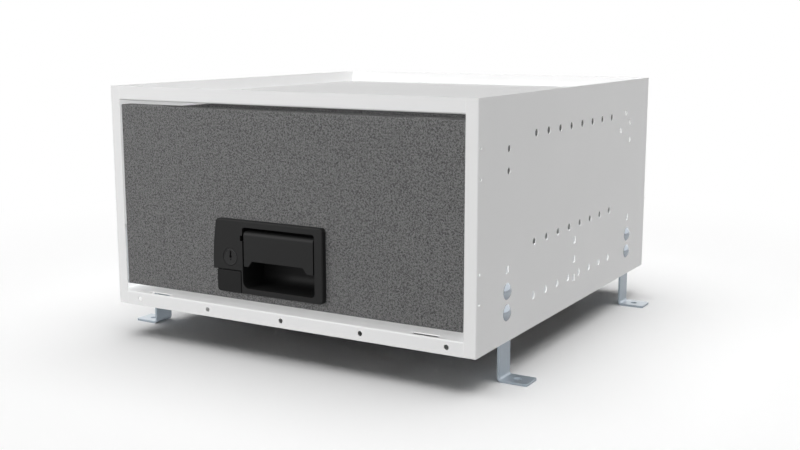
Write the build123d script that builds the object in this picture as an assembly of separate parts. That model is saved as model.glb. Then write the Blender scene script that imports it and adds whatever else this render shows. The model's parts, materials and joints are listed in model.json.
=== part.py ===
from build123d import *
import math
import os

# A drawer unit for a van floor: a folded steel casing on four feet, one drawer on
# full-extension ball runners, and a paddle handle that works a latch in the drawer.
# Drawing frame: x across from the centre line, y back from the front face of the
# casing, z up from the underside of the casing. The finished pieces are moved so that
# the origin lies on the van floor, in the middle of the four floor holes.

# Casing sheet
casing_width = 520.0
casing_depth = 574.0
casing_height = 282.5
ground_clearance = 44.0
sheet = 1.2
bend_inside = 1.0
seam_gap = 0.1
casing_flange = 15.0
pan_lip = 17.5
cut_overrun = 3.0
hole_sides = 12
small_sides = 8

# Rows of accessory holes in the side panels
row_hole = 9.2
row_first = 155.7
row_pitch = 37.25
row_count = 8
row_low = 39.2
row_middle = 105.0
row_high_drop = 48.3
trim_hole = 3.2
trim_hole_back = 7.8
trim_height_shares = (0.813, 0.693, 0.328, 0.209)
hanging_hole = 8.0
hanging_drop = 60.0
hanging_pitch = 25.0
link_hole_back = 98.5
link_hole_drop = 45.4
link_step_back = 20.3
link_step_drop = 23.6

# Holes and slots of the two pans
lip_hole = 6.0
lip_hole_height = 8.8
lip_hole_inset = 36.0
lip_hole_count = 5
pan_slot_length = 33.5
pan_slot_width = 8.0
pan_slot_back = 7.0
pan_slot_side = 195.0

# Feet of flat bar, and their bolts
foot_inset = 79.5
foot_width = 30.0
foot_bar = 3.0
foot_bend_inside = 3.0
foot_reach = 33.0
foot_corner = 3.0
foot_room = 1.0
floor_hole = 9.0
floor_hole_out = 15.0
bolt_low = 34.8
bolt_pitch = 25.0
bolt_square_hole = 8.4
bolt_square = 8.0
bolt_neck = 3.6
bolt_shank = 8.0
bolt_head = 19.5
bolt_dome = 4.3
bolt_end = 1.2
bolt_room = 0.1
nut_flats = 13.0
nut_height = 6.5
foot_top_margin = 13.0

# Support rails between the side panels and the runners, of rectangular tube
rail_depth = 15.0
rail_sheet = 1.5
rail_front = 5.0
rail_back = 12.0
access_width = 22.0

# Ball runners
runner_height = 76.0
runner_centre = 64.0
runner_front = 22.0
runner_thick = 19.1
runner_length = 500.0
runner_steel = 2.0
runner_step = 0.6
outer_flange = 14.0
outer_hook = 3.0
middle_flange = 16.0
inner_flange = 12.6
ball = 5.5
ball_groove = 0.8
ball_room = 0.3
outer_ball_place = 8.0
inner_ball_place = 11.0
cage_strip = 1.0
cage_width = 7.4
cage_margin = 5.0
drawer_travel = 500.0
drawer_side_gap = 0.3

# Drawer
front_side_gap = 1.9
front_top_gap = 5.5
front_bottom_gap = 10.0
front_return = 18.0
front_radius = 2.5
drawer_sheet = 1.2
drawer_length = 556.0
drawer_side_drop = 6.5
drawer_top_return = 10.0
drawer_end_flange = 12.0
buffer_radius = 8.0
buffer_side = 150.0
buffer_height = 120.0
buffer_gap = 0.4

# Handle housing
housing_left_top = -89.3
housing_left_bulge = -94.0
cover_left = -88.0
housing_right = 66.6
housing_bottom = 38.0
cover_top = 65.2
housing_top = 127.8
housing_proud = 8.0
housing_corner = 4.5
housing_edge = 1.2
bulge_share = 0.78
cover_right = -51.8
cover_gap = 0.25
cover_drop = 0.4
recess_left = -48.6
recess_right = 55.5
recess_bottom = 45.1
recess_top = 119.7
recess_wall = 2.5
recess_depth = 36.0
recess_round = 13.0
recess_corner_large = 9.0
recess_corner_medium = 5.0
recess_corner = 3.5
pin_notch_width = 3.2
pin_notch_below = 1.3
pin_notch_above = 5.3
cutout_gap = 0.3
housing_screw_inset = 3.4
housing_screw_hole = 2.9
housing_screw = 2.7
housing_screw_depth = 5.0
housing_screw_head = 5.6
housing_screw_head_height = 1.8
housing_screw_clear = 3.2

# Paddle and its pin
paddle_side_gap_left = 1.6
paddle_side_gap_right = 1.9
paddle_top_gap = 4.2
paddle_face_drop = 0.4
paddle_wall = 3.2
paddle_nose = 6.0
paddle_low = 71.8
paddle_lift = 7.1
paddle_foot_left = 6.5
paddle_foot_right = 9.3
paddle_bevel = 5.5
paddle_cheek = 4.0
pin = 5.0
pin_back = 5.0
pin_drop = 15.7
pin_running = 0.05
pin_boss = 4.7
spring_wall = 1.4
spring_room = 0.3
spring_length = 30.0
spring_end_gap = 3.5
crank_plate = 3.0
crank_reach = 16.0
crank_tip = 2.0
crank_gap = 2.9
lever_plate_gap = 0.6

# Rocker lever, its bracket, and the latch bar
rocker_back = 34.0
rocker_drop = 5.0
rocker_front_arm = 13.0
rocker_rear_arm = 10.0
rocker_tip = 2.0
rocker_boss = 4.5
rocker_pin = 4.0
rocker_pin_head = 7.0
bracket_sheet = 1.5
bracket_gap = 2.0
bracket_margin = 8.0
bracket_front = 5.0
bracket_foot = 14.0
bar_thick = 3.0
bar_width = 11.0
bar_window_room = 0.5
bar_window_drop = 1.6
bar_top = 7.0
bar_bevel = 3.0
guide_wall = 4.0
guide_height = 14.0
guide_room = 0.2
keeper_height = 5.8
keeper_clear = 0.5
keeper_length = 30.0
keeper_width = 10.0
keeper_sheet = 1.5

# Lock
lock_side = -67.2
lock_land = 5.65
lock_face = 20.5
lock_face_thick = 2.5
lock_ring_gap = 0.5
lock_shaft = 14.0
lock_running = 0.05
lock_boss_wall = 3.0
lock_boss_depth = 23.0
lock_seat_gap = 0.3
key_slot_width = 2.0
key_slot_length = 7.1
key_slot_rise = 4.05
key_round = 3.0
key_round_rise = 0.5
key_dot = 1.6
key_dot_drop = 2.2
key_depth = 1.8
cam_plate = 2.0
cam_gap = 0.4
cam_reach = 13.6
cam_width = 9.0
cam_nut = 10.0
cam_nut_height = 2.0

# Cover over the mechanism
mech_cover_sheet = 1.0
mech_cover_left = -98.0
mech_cover_right = 70.0
mech_cover_top = 134.0
mech_cover_depth = 57.0

# Places that follow from the sizes above
half_width = casing_width / 2
panel_inside = half_width - sheet
rail_outside = panel_inside - seam_gap
rail_inside = rail_outside - rail_depth
runner_inside = rail_inside - runner_thick
drawer_half = runner_inside - drawer_side_gap
front_half = half_width - casing_flange - front_side_gap
tray_floor_low = casing_height - pan_lip
front_low = pan_lip + front_bottom_gap
front_high = tray_floor_low - front_top_gap
base_low = front_low + drawer_sheet + seam_gap
base_top = base_low + drawer_sheet
side_top = front_high - drawer_side_drop
pin_height = recess_top - pin_drop
lock_height = cover_top + lock_land + lock_ring_gap + lock_face / 2
crank_left = recess_left - recess_wall - crank_gap - crank_plate
crank_middle = crank_left + crank_plate / 2
rocker_height = pin_height - rocker_drop
bar_middle_y = rocker_back + rocker_rear_arm
bracket_right = crank_middle - bar_width / 2 - guide_room - bracket_gap
feet_back = (foot_inset, casing_depth - foot_inset)
bolt_heights = (bolt_low, bolt_low + bolt_pitch)
foot_top = bolt_low + bolt_pitch + foot_top_margin
column_backs = (foot_inset, casing_depth / 2, casing_depth - foot_inset)
column_heights = (bolt_low, bolt_low + bolt_pitch, bolt_low + bolt_pitch * 2)
row_heights = (row_low, row_middle, casing_height - row_high_drop)

to_frame = Location((0, -casing_depth / 2, ground_clearance))


def block(x0, x1, y0, y1, z0, z1):
    """A box between two corners."""
    middle = Pos((x0 + x1) / 2, (y0 + y1) / 2, (z0 + z1) / 2)
    return middle * Box(x1 - x0, y1 - y0, z1 - z0)


def folded(points, thickness, inside):
    """Section of a folded sheet whose middle line follows the points."""
    line = FilletPolyline(*points, radius=inside + thickness / 2)
    return trace(line, line_width=thickness)


def pressed(points, thickness):
    """Section of a strip with square corners, its middle line on the points."""
    return trace(Polyline(*points), line_width=thickness)


def flat_sided(radius, sides):
    """An outline with flat sides that a circle of this radius just fits in."""
    return RegularPolygon(radius, sides, major_radius=False)


def across(section, x0, x1):
    """A section drawn in y and z, run across from x0 to x1."""
    return extrude(Plane.YZ.offset(x0) * section, amount=x1 - x0)


def backward(section, y0, y1):
    """A section drawn in x and z, run back from y0 to y1."""
    return extrude(Plane.XZ.offset(-y1) * section, amount=y1 - y0)


def upward(section, z0, z1):
    """A section drawn in x and y, run up from z0 to z1."""
    return extrude(Plane.XY.offset(z0) * section, amount=z1 - z0)


def rod_across(radius, y, z, x0, x1):
    """A round bar that lies across, from x0 to x1."""
    return across(Pos(y, z) * Circle(radius), x0, x1)


def rod_backward(radius, x, z, y0, y1):
    """A round bar that lies front to back, from y0 to y1."""
    return backward(Pos(x, z) * Circle(radius), y0, y1)


def mirrored(shape):
    """The same piece for the other side of the unit."""
    return mirror(shape, about=Plane.YZ)


def soft_box(x0, x1, y0, y1, z0, z1, radius):
    """A box whose four front edges are round."""
    body = block(x0, x1, y0, y1, z0, z1)
    return fillet(body.faces().sort_by(Axis.Y)[0].edges(), radius)


def right_side_panel():
    """The right side panel, with its front and rear flanges and its holes."""
    flange_end = half_width - casing_flange
    web = half_width - sheet / 2
    points = [
        (flange_end, sheet / 2),
        (web, sheet / 2),
        (web, casing_depth - sheet / 2),
        (flange_end, casing_depth - sheet / 2),
    ]
    panel = upward(folded(points, sheet, bend_inside), 0, casing_height)
    rows = [
        Pos(row_first + row_pitch * number, height) * flat_sided(row_hole / 2, hole_sides)
        for height in row_heights
        for number in range(row_count)
    ]
    squares = [
        Pos(back, height) * Rectangle(bolt_square_hole, bolt_square_hole)
        for back in column_backs
        for height in column_heights
    ]
    hanging_high = casing_height - hanging_drop
    hanging = [
        Pos(back, height) * Circle(hanging_hole / 2)
        for back in feet_back
        for height in (hanging_high, hanging_high - hanging_pitch)
    ]
    link_back = casing_depth - link_hole_back
    link_height = casing_height - link_hole_drop
    links = [
        Pos(link_back - link_step_back * step, link_height - link_step_drop * step)
        * flat_sided(hanging_hole / 2, hole_sides)
        for step in range(2)
    ]
    trims = [
        Pos(trim_hole_back, casing_height * share) * flat_sided(trim_hole / 2, small_sides)
        for share in trim_height_shares
    ]
    tool = Sketch() + rows + squares + hanging + links + trims
    return panel - across(tool, panel_inside - cut_overrun, half_width + cut_overrun)


def pan(floor_middle, lip_end):
    """A pan with four lips that all end at one height, either above or below."""
    side = panel_inside - seam_gap
    width = half_width - casing_flange - seam_gap
    inset = sheet + bend_inside + seam_gap
    long_run = [
        (sheet / 2, lip_end),
        (sheet / 2, floor_middle),
        (casing_depth - sheet / 2, floor_middle),
        (casing_depth - sheet / 2, lip_end),
    ]
    cross_run = [
        (-side + sheet / 2, lip_end),
        (-side + sheet / 2, floor_middle),
        (side - sheet / 2, floor_middle),
        (side - sheet / 2, lip_end),
    ]
    front_to_back = across(folded(long_run, sheet, bend_inside), -width, width)
    side_to_side = backward(
        folded(cross_run, sheet, bend_inside), inset, casing_depth - inset
    )
    slots = [
        Pos(place, pan_slot_back) * Rectangle(pan_slot_length, pan_slot_width)
        for place in (-pan_slot_side, pan_slot_side)
    ]
    low = floor_middle - sheet - cut_overrun
    high = floor_middle + sheet + cut_overrun
    return front_to_back + side_to_side - upward(Sketch() + slots, low, high)


def top_tray():
    """The top of the casing, a tray with its lips up."""
    return pan(tray_floor_low + sheet / 2, casing_height)


def bottom_pan():
    """The floor of the casing, with its lips down and notches for the feet."""
    floor = pan(pan_lip - sheet / 2, 0)
    first = lip_hole_inset - half_width
    pitch = -first * 2 / (lip_hole_count - 1)
    lip_holes = [
        Pos(first + pitch * number, lip_hole_height)
        * flat_sided(lip_hole / 2, hole_sides)
        for number in range(lip_hole_count)
    ]
    floor -= backward(Sketch() + lip_holes, -cut_overrun, sheet + cut_overrun)
    notch_inside = panel_inside - seam_gap - foot_bar - foot_room
    half_notch = foot_width / 2 + foot_room
    for back in feet_back:
        right = block(
            notch_inside,
            half_width,
            back - half_notch,
            back + half_notch,
            -cut_overrun,
            pan_lip + cut_overrun,
        )
        floor = floor - right - mirrored(right)
    return floor


def back_panel():
    """The rear wall, with its top and bottom flanges folded forward."""
    side = panel_inside - seam_gap
    web = casing_depth - sheet - seam_gap - sheet / 2
    low = pan_lip + seam_gap + sheet / 2
    high = tray_floor_low - seam_gap - sheet / 2
    points = [
        (web - casing_flange, low),
        (web, low),
        (web, high),
        (web - casing_flange, high),
    ]
    inset = bend_inside + seam_gap
    return across(folded(points, sheet, bend_inside), -side + inset, side - inset)


def right_rail():
    """The tube that holds the right runner clear of the foot bolts."""
    section = Rectangle(rail_depth, runner_height)
    section -= Rectangle(rail_depth - rail_sheet * 2, runner_height - rail_sheet * 2)
    section = Pos(rail_inside + rail_depth / 2, runner_centre) * section
    rail = backward(section, rail_front, casing_depth - rail_back)
    half_notch = foot_width / 2 + foot_room
    notch_inside = rail_inside + rail_sheet + bend_inside
    for back in feet_back:
        rail -= block(
            notch_inside,
            half_width,
            back - half_notch,
            back + half_notch,
            0,
            foot_top + foot_room,
        )
        rail -= block(
            rail_inside - cut_overrun,
            notch_inside,
            back - access_width / 2,
            back + access_width / 2,
            bolt_low - access_width / 2,
            bolt_low + bolt_pitch + access_width / 2,
        )
    return rail


def right_foot(back):
    """One foot of flat bar, its long leg inside the right side panel."""
    upright = panel_inside - seam_gap - foot_bar / 2
    sole = -ground_clearance
    toe = half_width + foot_reach
    points = [
        (upright, foot_top),
        (upright, sole + foot_bar / 2),
        (toe, sole + foot_bar / 2),
    ]
    section = folded(points, foot_bar, foot_bend_inside)
    foot = backward(section, back - foot_width / 2, back + foot_width / 2)
    ends = foot.edges().filter_by(Axis.Z).group_by(Axis.X)[-1]
    foot = fillet(ends, foot_corner)
    squares = [
        Pos(back, height) * Rectangle(bolt_square_hole, bolt_square_hole)
        for height in bolt_heights
    ]
    foot -= across(Sketch() + squares, upright - foot_bar, half_width)
    drill = Pos(half_width + floor_hole_out, back) * Circle(floor_hole / 2)
    return foot - upward(drill, sole - cut_overrun, sole + foot_bar + cut_overrun)


def right_bolt(back, height):
    """A domed bolt with a square neck, put in from outside the right side."""
    shank_end = panel_inside - seam_gap - foot_bar - nut_height - bolt_end
    neck_end = half_width - bolt_neck
    radius = bolt_head / 2
    dome_radius = (radius**2 + bolt_dome**2) / (2 * bolt_dome)
    dome_centre = half_width + bolt_dome - dome_radius
    dome_angle = math.degrees(math.asin(radius / dome_radius))
    profile = make_face(
        Curve()
        + [
            Line((half_width, 0), (half_width, radius)),
            CenterArc((dome_centre, 0), dome_radius, 0, dome_angle),
            Line((half_width + bolt_dome, 0), (half_width, 0)),
        ]
    )
    place = Pos(back, height)
    head = Pos(0, back, height) * revolve(profile, Axis.X)
    neck = across(place * Rectangle(bolt_square, bolt_square), neck_end, half_width)
    shank = place * RegularPolygon(bolt_shank / 2, small_sides)
    return head + neck + across(shank, shank_end, neck_end)


def right_nut(back, height):
    """A hexagon nut on the inside of a foot."""
    seat = panel_inside - seam_gap - foot_bar
    section = flat_sided(nut_flats / 2, 6)
    section -= flat_sided(bolt_shank / 2 + bolt_room, small_sides)
    return across(Pos(back, height) * section, seat - nut_height, seat)


def both_sides(maker):
    """One piece at each foot bolt, on both sides."""
    right = [maker(back, height) for back in feet_back for height in bolt_heights]
    return right + [mirrored(piece) for piece in right]


# Heights of the runner's ball rows, measured from the runner's centre line
row_seat = ball / 2 - ball_groove
outer_row = runner_height / 2 - runner_steel - row_seat
middle_half = outer_row - row_seat
inner_row = middle_half - runner_steel - row_seat
inner_half = inner_row - row_seat


def ball_rows(place, height, outline, y0, y1):
    """A lower and an upper bar of one outline, at one depth from the rail."""
    x = rail_inside - place
    return [
        backward(Pos(x, runner_centre + sign * height) * outline, y0, y1)
        for sign in (-1, 1)
    ]


def race_tools(place, height):
    """The grooves that a pair of ball rows run in, as cutting tools."""
    end = runner_front + runner_length + cut_overrun
    start = runner_front - cut_overrun
    return ball_rows(place, height, Circle(ball / 2 + ball_room), start, end)


def channel(web, free_end, half, hook):
    """A channel section from web to free end, with hooked edges if asked for."""
    x_web = rail_inside - web
    x_end = rail_inside - free_end
    high = runner_centre + half - runner_steel / 2
    low = runner_centre - half + runner_steel / 2
    points = [(x_end, low), (x_web, low), (x_web, high), (x_end, high)]
    if hook:
        points = [(x_end, low + hook)] + points + [(x_end, high - hook)]
    return pressed(points, runner_steel)


def right_outer_member():
    """The fixed channel of the right runner."""
    section = channel(
        runner_steel / 2, outer_flange - runner_steel / 2, runner_height / 2, outer_hook
    )
    member = backward(section, runner_front, runner_front + runner_length)
    return member - race_tools(outer_ball_place, outer_row)


def right_middle_member():
    """The channel that travels half way, with a race inside and outside."""
    web = runner_steel + runner_step + runner_steel / 2
    section = channel(web, middle_flange, middle_half, 0)
    member = backward(section, runner_front, runner_front + runner_length)
    member -= race_tools(outer_ball_place, outer_row)
    return member - race_tools(inner_ball_place, inner_row)


def right_inner_member():
    """The channel that is fixed to the drawer side."""
    web = runner_thick - runner_steel / 2
    section = channel(web, runner_thick - inner_flange, inner_half, 0)
    member = backward(section, runner_front, runner_front + runner_length)
    return member - race_tools(inner_ball_place, inner_row)


def right_cages(place, height):
    """The two ball rows between a pair of members, each on its cage strip."""
    length = runner_length - drawer_travel / 2 - cage_margin * 2
    start = runner_front + (runner_length - length) / 2
    outline = RegularPolygon(ball / 2, small_sides)
    rows = ball_rows(place, height, outline, start, start + length)
    x = rail_inside - place
    cages = []
    for sign, row in zip((-1, 1), rows):
        z = runner_centre + sign * height
        strip = block(
            x - cage_width / 2,
            x + cage_width / 2,
            start,
            start + length,
            z - cage_strip / 2,
            z + cage_strip / 2,
        )
        cages.append(row + strip)
    return cages


def drawer_front():
    """The front panel, folded with a return on all four sides."""
    outer = soft_box(
        -front_half, front_half, 0, front_return, front_low, front_high, front_radius
    )
    inner = soft_box(
        -front_half + drawer_sheet,
        front_half - drawer_sheet,
        drawer_sheet,
        front_return + cut_overrun,
        front_low + drawer_sheet,
        front_high - drawer_sheet,
        front_radius - drawer_sheet,
    )
    window = block(
        lock_side - lock_boss_radius - cutout_gap,
        recess_right + recess_wall + cutout_gap,
        -cut_overrun,
        drawer_sheet + cut_overrun,
        recess_bottom - recess_wall - cutout_gap,
        recess_top + recess_wall + cutout_gap,
    )
    holes = [
        Pos(x, z) * flat_sided(housing_screw_clear / 2, hole_sides)
        for x, z in housing_screw_places
    ]
    drill = backward(Sketch() + holes, -cut_overrun, drawer_sheet + cut_overrun)
    return outer - inner - window - drill


def drawer_body():
    """The drawer's base and sides in one folded sheet, with end flanges in front."""
    side = drawer_half - drawer_sheet / 2
    low = base_low + drawer_sheet / 2
    high = side_top - drawer_sheet / 2
    start = front_radius + seam_gap
    points = [
        (-side + drawer_top_return, high),
        (-side, high),
        (-side, low),
        (side, low),
        (side, high),
        (side - drawer_top_return, high),
    ]
    body = backward(folded(points, drawer_sheet, bend_inside), start, drawer_length)
    flange_y = drawer_sheet + seam_gap + drawer_sheet / 2
    corner = [
        (side + drawer_end_flange, flange_y),
        (side, flange_y),
        (side, flange_y + drawer_end_flange),
    ]
    flange_low = base_top + bend_inside
    flange_high = side_top - drawer_sheet - bend_inside
    flange = upward(folded(corner, drawer_sheet, bend_inside), flange_low, flange_high)
    body = body + flange + mirrored(flange)
    slot_x = bar_width / 2 + guide_room
    slot_y = bar_thick / 2 + guide_room
    return body - block(
        crank_middle - slot_x,
        crank_middle + slot_x,
        bar_middle_y - slot_y,
        bar_middle_y + slot_y,
        base_low - cut_overrun,
        base_top + cut_overrun,
    )


def drawer_back():
    """The drawer's rear wall, with flanges on both sides and below."""
    side = drawer_half - drawer_sheet - seam_gap - drawer_sheet / 2
    web = drawer_length - drawer_sheet / 2
    low = base_top + seam_gap + drawer_sheet / 2
    high = side_top - drawer_sheet - bend_inside - seam_gap
    reach = web - drawer_end_flange
    plan = [(-side, reach), (-side, web), (side, web), (side, reach)]
    foot_run = [(reach, low), (web, low), (web, high)]
    inset = drawer_sheet + bend_inside
    walls = upward(pressed(plan, drawer_sheet), base_top + inset, high)
    return walls + across(pressed(foot_run, drawer_sheet), -side + inset, side - inset)


lock_boss_radius = lock_shaft / 2 + lock_running + lock_boss_wall
bezel_back = 0.0
screw_right = housing_right - housing_screw_inset
screw_left = (cover_left + lock_side - lock_boss_radius - cutout_gap) / 2
housing_screw_places = [(screw_left, recess_top), (screw_right, recess_bottom)]


def bezel_outline():
    """The outline of the housing's face, with its bowed left edge."""
    left_top = (housing_left_top, housing_top - housing_corner)
    left_low = (housing_left_bulge, cover_top)
    bow = (
        housing_left_top
        + (housing_left_bulge - housing_left_top) * bulge_share,
        (housing_top + cover_top) / 2,
    )
    top_start = (housing_left_top + housing_corner, housing_top)
    lines = Curve() + [
        ThreePointArc(left_low, bow, left_top),
        RadiusArc(left_top, top_start, housing_corner),
        Line(top_start, (housing_right, housing_top)),
        Line((housing_right, housing_top), (housing_right, housing_bottom)),
        Line((housing_right, housing_bottom), (cover_left, housing_bottom)),
        Line((cover_left, housing_bottom), (cover_left, cover_top)),
        Line((cover_left, cover_top), left_low),
    ]
    return make_face(lines)


def recess_outline(grow):
    """The outline of the hand recess, larger by grow all round."""
    width = recess_right - recess_left + grow * 2
    height = recess_top - recess_bottom + grow * 2
    middle = Pos((recess_left + recess_right) / 2, (recess_bottom + recess_top) / 2)
    outline = middle * Rectangle(width, height)
    rounds = (
        (lambda corner: corner.X + corner.Y, recess_corner_large),
        (lambda corner: corner.Y - corner.X, recess_corner_medium),
        (lambda corner: corner.X - corner.Y, recess_corner),
        (lambda corner: -corner.X - corner.Y, recess_corner),
    )
    for place, radius in rounds:
        corner = outline.vertices().sort_by(place)[0]
        outline = fillet(corner, radius + grow)
    return outline


def recess_form(grow, front):
    """The hand recess as a solid, a trough with a round floor and ceiling behind."""
    back = recess_depth + grow
    height = recess_top - recess_bottom + grow * 2
    middle = Pos((front + back) / 2, (recess_bottom + recess_top) / 2)
    side = middle * Rectangle(back - front, height)
    rear_corners = side.vertices().sort_by(Axis.X)[-2:]
    trough = across(
        fillet(rear_corners, recess_round + grow), recess_left - grow, recess_right + grow
    )
    return backward(recess_outline(grow), front, back) & trough


def handle_housing():
    """The moulded bezel with the hand recess and the lock's boss behind it."""
    bezel = backward(bezel_outline(), -housing_proud, bezel_back)
    corners = [
        edge
        for edge in bezel.edges().filter_by(Axis.Y)
        if edge.center().X > recess_right
    ]
    bezel = fillet(corners, housing_corner)
    bezel -= block(
        housing_left_bulge - cut_overrun,
        cover_right + cover_gap,
        -housing_proud - cut_overrun,
        cut_overrun,
        housing_bottom - cut_overrun,
        cover_top + cover_gap,
    )
    face = bezel.faces().sort_by(Axis.Y)[0]
    bezel = chamfer(face.edges(), housing_edge)
    housing = bezel + recess_form(recess_wall, bezel_back)
    housing += rod_backward(
        lock_boss_radius, lock_side, lock_height, bezel_back, lock_boss_depth
    )
    housing -= recess_form(0, -housing_proud - cut_overrun)
    housing -= block(
        recess_left - pin_notch_width,
        recess_left + cut_overrun,
        -housing_proud - cut_overrun,
        -housing_edge,
        pin_height - pin_notch_below,
        pin_height + pin_notch_above,
    )
    face_back = -housing_proud + lock_face_thick + lock_seat_gap
    housing -= rod_backward(
        lock_face / 2 + lock_ring_gap,
        lock_side,
        lock_height,
        -housing_proud - cut_overrun,
        face_back,
    )
    housing -= rod_backward(
        lock_shaft / 2 + lock_running,
        lock_side,
        lock_height,
        -housing_proud,
        lock_boss_depth + cut_overrun,
    )
    housing -= rod_across(
        pin / 2 + pin_running,
        pin_back,
        pin_height,
        recess_left - recess_wall - cut_overrun,
        recess_right + recess_wall / 2,
    )
    holes = [
        Pos(x, z) * flat_sided(housing_screw_hole / 2, hole_sides)
        for x, z in housing_screw_places
    ]
    return housing - backward(Sketch() + holes, -housing_screw_depth, cut_overrun)


def lower_cover():
    """The separate moulded cover in the housing's lower left corner."""
    cover = block(
        cover_left,
        cover_right - cover_gap,
        -housing_proud + cover_drop,
        bezel_back,
        housing_bottom,
        cover_top - cover_gap,
    )
    sides = cover.edges().filter_by(Axis.Y)
    low_left = sides.sort_by(lambda edge: edge.center().X + edge.center().Z)[0]
    cover = fillet(low_left, housing_corner)
    face = cover.faces().sort_by(Axis.Y)[0]
    return chamfer(face.edges(), cover_drop)


def housing_screws():
    """The two screws that hold the housing from behind the front panel."""
    screws = []
    head_end = drawer_sheet + housing_screw_head_height
    shank_front = -housing_screw_depth + cutout_gap
    for x, z in housing_screw_places:
        head = Pos(x, z) * RegularPolygon(housing_screw_head / 2, 6)
        shank = Pos(x, z) * RegularPolygon(housing_screw / 2, hole_sides)
        screws.append(
            backward(head, drawer_sheet, head_end)
            + backward(shank, shank_front, drawer_sheet)
        )
    return screws


def paddle():
    """The paddle: a face wall with a round top, end cheeks and a notched lower edge."""
    left = recess_left + paddle_side_gap_left
    right = recess_right - paddle_side_gap_right
    top = recess_top - paddle_top_gap
    face = -housing_proud + paddle_face_drop
    wall_back = face + paddle_wall
    nose_start = (face, top - paddle_nose)
    nose_end = (face + paddle_nose, top)
    inner_nose = paddle_nose - paddle_wall
    shell = make_face(
        Curve()
        + [
            Line((face, paddle_low), nose_start),
            RadiusArc(nose_start, nose_end, paddle_nose),
            Line(nose_end, (pin_back, top)),
            Line((pin_back, top), (pin_back, top - paddle_wall)),
            Line(
                (pin_back, top - paddle_wall), (wall_back + inner_nose, top - paddle_wall)
            ),
            RadiusArc(
                (wall_back + inner_nose, top - paddle_wall),
                (wall_back, top - paddle_nose),
                -inner_nose,
            ),
            Line((wall_back, top - paddle_nose), (wall_back, paddle_low)),
            Line((wall_back, paddle_low), (face, paddle_low)),
        ]
    )
    flap = across(shell, left, right)
    cheek = make_face(
        Polyline(
            (wall_back, paddle_low + paddle_lift),
            (pin_back + pin_boss, pin_height),
            (pin_back + pin_boss, top - paddle_wall),
            (wall_back, top - paddle_wall),
            close=True,
        )
    )
    cheek += Pos(pin_back, pin_height) * Circle(pin_boss)
    flap += across(cheek, left, left + paddle_cheek)
    flap += across(cheek, right - paddle_cheek, right)
    notch_top = paddle_low + paddle_lift
    notch = make_face(
        Polyline(
            (left + paddle_foot_left, paddle_low - cut_overrun),
            (left + paddle_foot_left, paddle_low),
            (left + paddle_foot_left + paddle_bevel, notch_top),
            (right - paddle_foot_right - paddle_bevel, notch_top),
            (right - paddle_foot_right, paddle_low),
            (right - paddle_foot_right, paddle_low - cut_overrun),
            close=True,
        )
    )
    flap -= backward(notch, face - cut_overrun, wall_back + cut_overrun)
    return flap - rod_across(
        pin / 2 + pin_running,
        pin_back,
        pin_height,
        left - cut_overrun,
        right + cut_overrun,
    )


def paddle_pin():
    """The steel pin that the paddle turns with."""
    return rod_across(
        pin / 2, pin_back, pin_height, crank_left, recess_right + recess_wall / 2 - cover_gap
    )


def paddle_spring():
    """The coiled return spring on the pin, as its outer sleeve."""
    end = recess_right - paddle_side_gap_right - paddle_cheek - spring_end_gap
    bore = pin / 2 + spring_room
    section = RegularPolygon(bore + spring_wall, hole_sides) - flat_sided(bore, hole_sides)
    return across(Pos(pin_back, pin_height) * section, end - spring_length, end)


def lever_arm(start, end, start_radius, end_radius):
    """A tapered arm between two round ends, drawn in y and z."""
    hubs = Pos(*start) * Circle(start_radius) + Pos(*end) * Circle(end_radius)
    return make_hull(hubs.edges())


def crank():
    """The crank on the left end of the pin, which presses on the rocker."""
    tip = (pin_back + crank_reach, pin_height)
    arm = lever_arm((pin_back, pin_height), tip, pin_boss, crank_tip)
    arm -= Pos(pin_back, pin_height) * flat_sided(pin / 2, hole_sides)
    return across(arm, crank_left, crank_left + crank_plate)


def rocker():
    """The rocker that turns the crank's push down into a lift of the latch bar."""
    hub = (rocker_back, rocker_height)
    front_tip = (rocker_back - rocker_front_arm, rocker_height)
    rear_tip = (rocker_back + rocker_rear_arm, rocker_height)
    arms = lever_arm(hub, front_tip, rocker_boss, rocker_tip)
    arms += lever_arm(hub, rear_tip, rocker_boss, rocker_tip)
    arms -= Pos(*hub) * flat_sided(rocker_pin / 2 + pin_running, hole_sides)
    return across(arms, crank_left, crank_left + crank_plate)


def rocker_pin_piece():
    """The rocker's pivot, a shouldered pin fixed in the bracket."""
    place = Pos(rocker_back, rocker_height)
    head_start = crank_left + crank_plate + lever_plate_gap
    head = place * RegularPolygon(rocker_pin_head / 2, hole_sides)
    shaft = place * Circle(rocker_pin / 2)
    return across(shaft, bracket_right - bracket_sheet, head_start) + across(
        head, head_start, head_start + bracket_sheet
    )


def latch_bracket():
    """The bracket that stands on the drawer's base and carries the rocker's pin."""
    middle = bracket_right - bracket_sheet / 2
    foot = base_top + seam_gap + bracket_sheet / 2
    top = rocker_height + bracket_margin
    points = [(middle - bracket_foot, foot), (middle, foot), (middle, top)]
    front = rocker_back - bracket_front
    back = bar_middle_y + bracket_margin
    plate = backward(pressed(points, bracket_sheet), front, back)
    tops = plate.edges().filter_by(Axis.X).group_by(Axis.Z)[-1]
    bore = Pos(rocker_back, rocker_height) * flat_sided(rocker_pin / 2, hole_sides)
    return chamfer(tops, bracket_front / 2) - across(
        bore, middle - bracket_sheet, middle + bracket_sheet
    )


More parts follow.
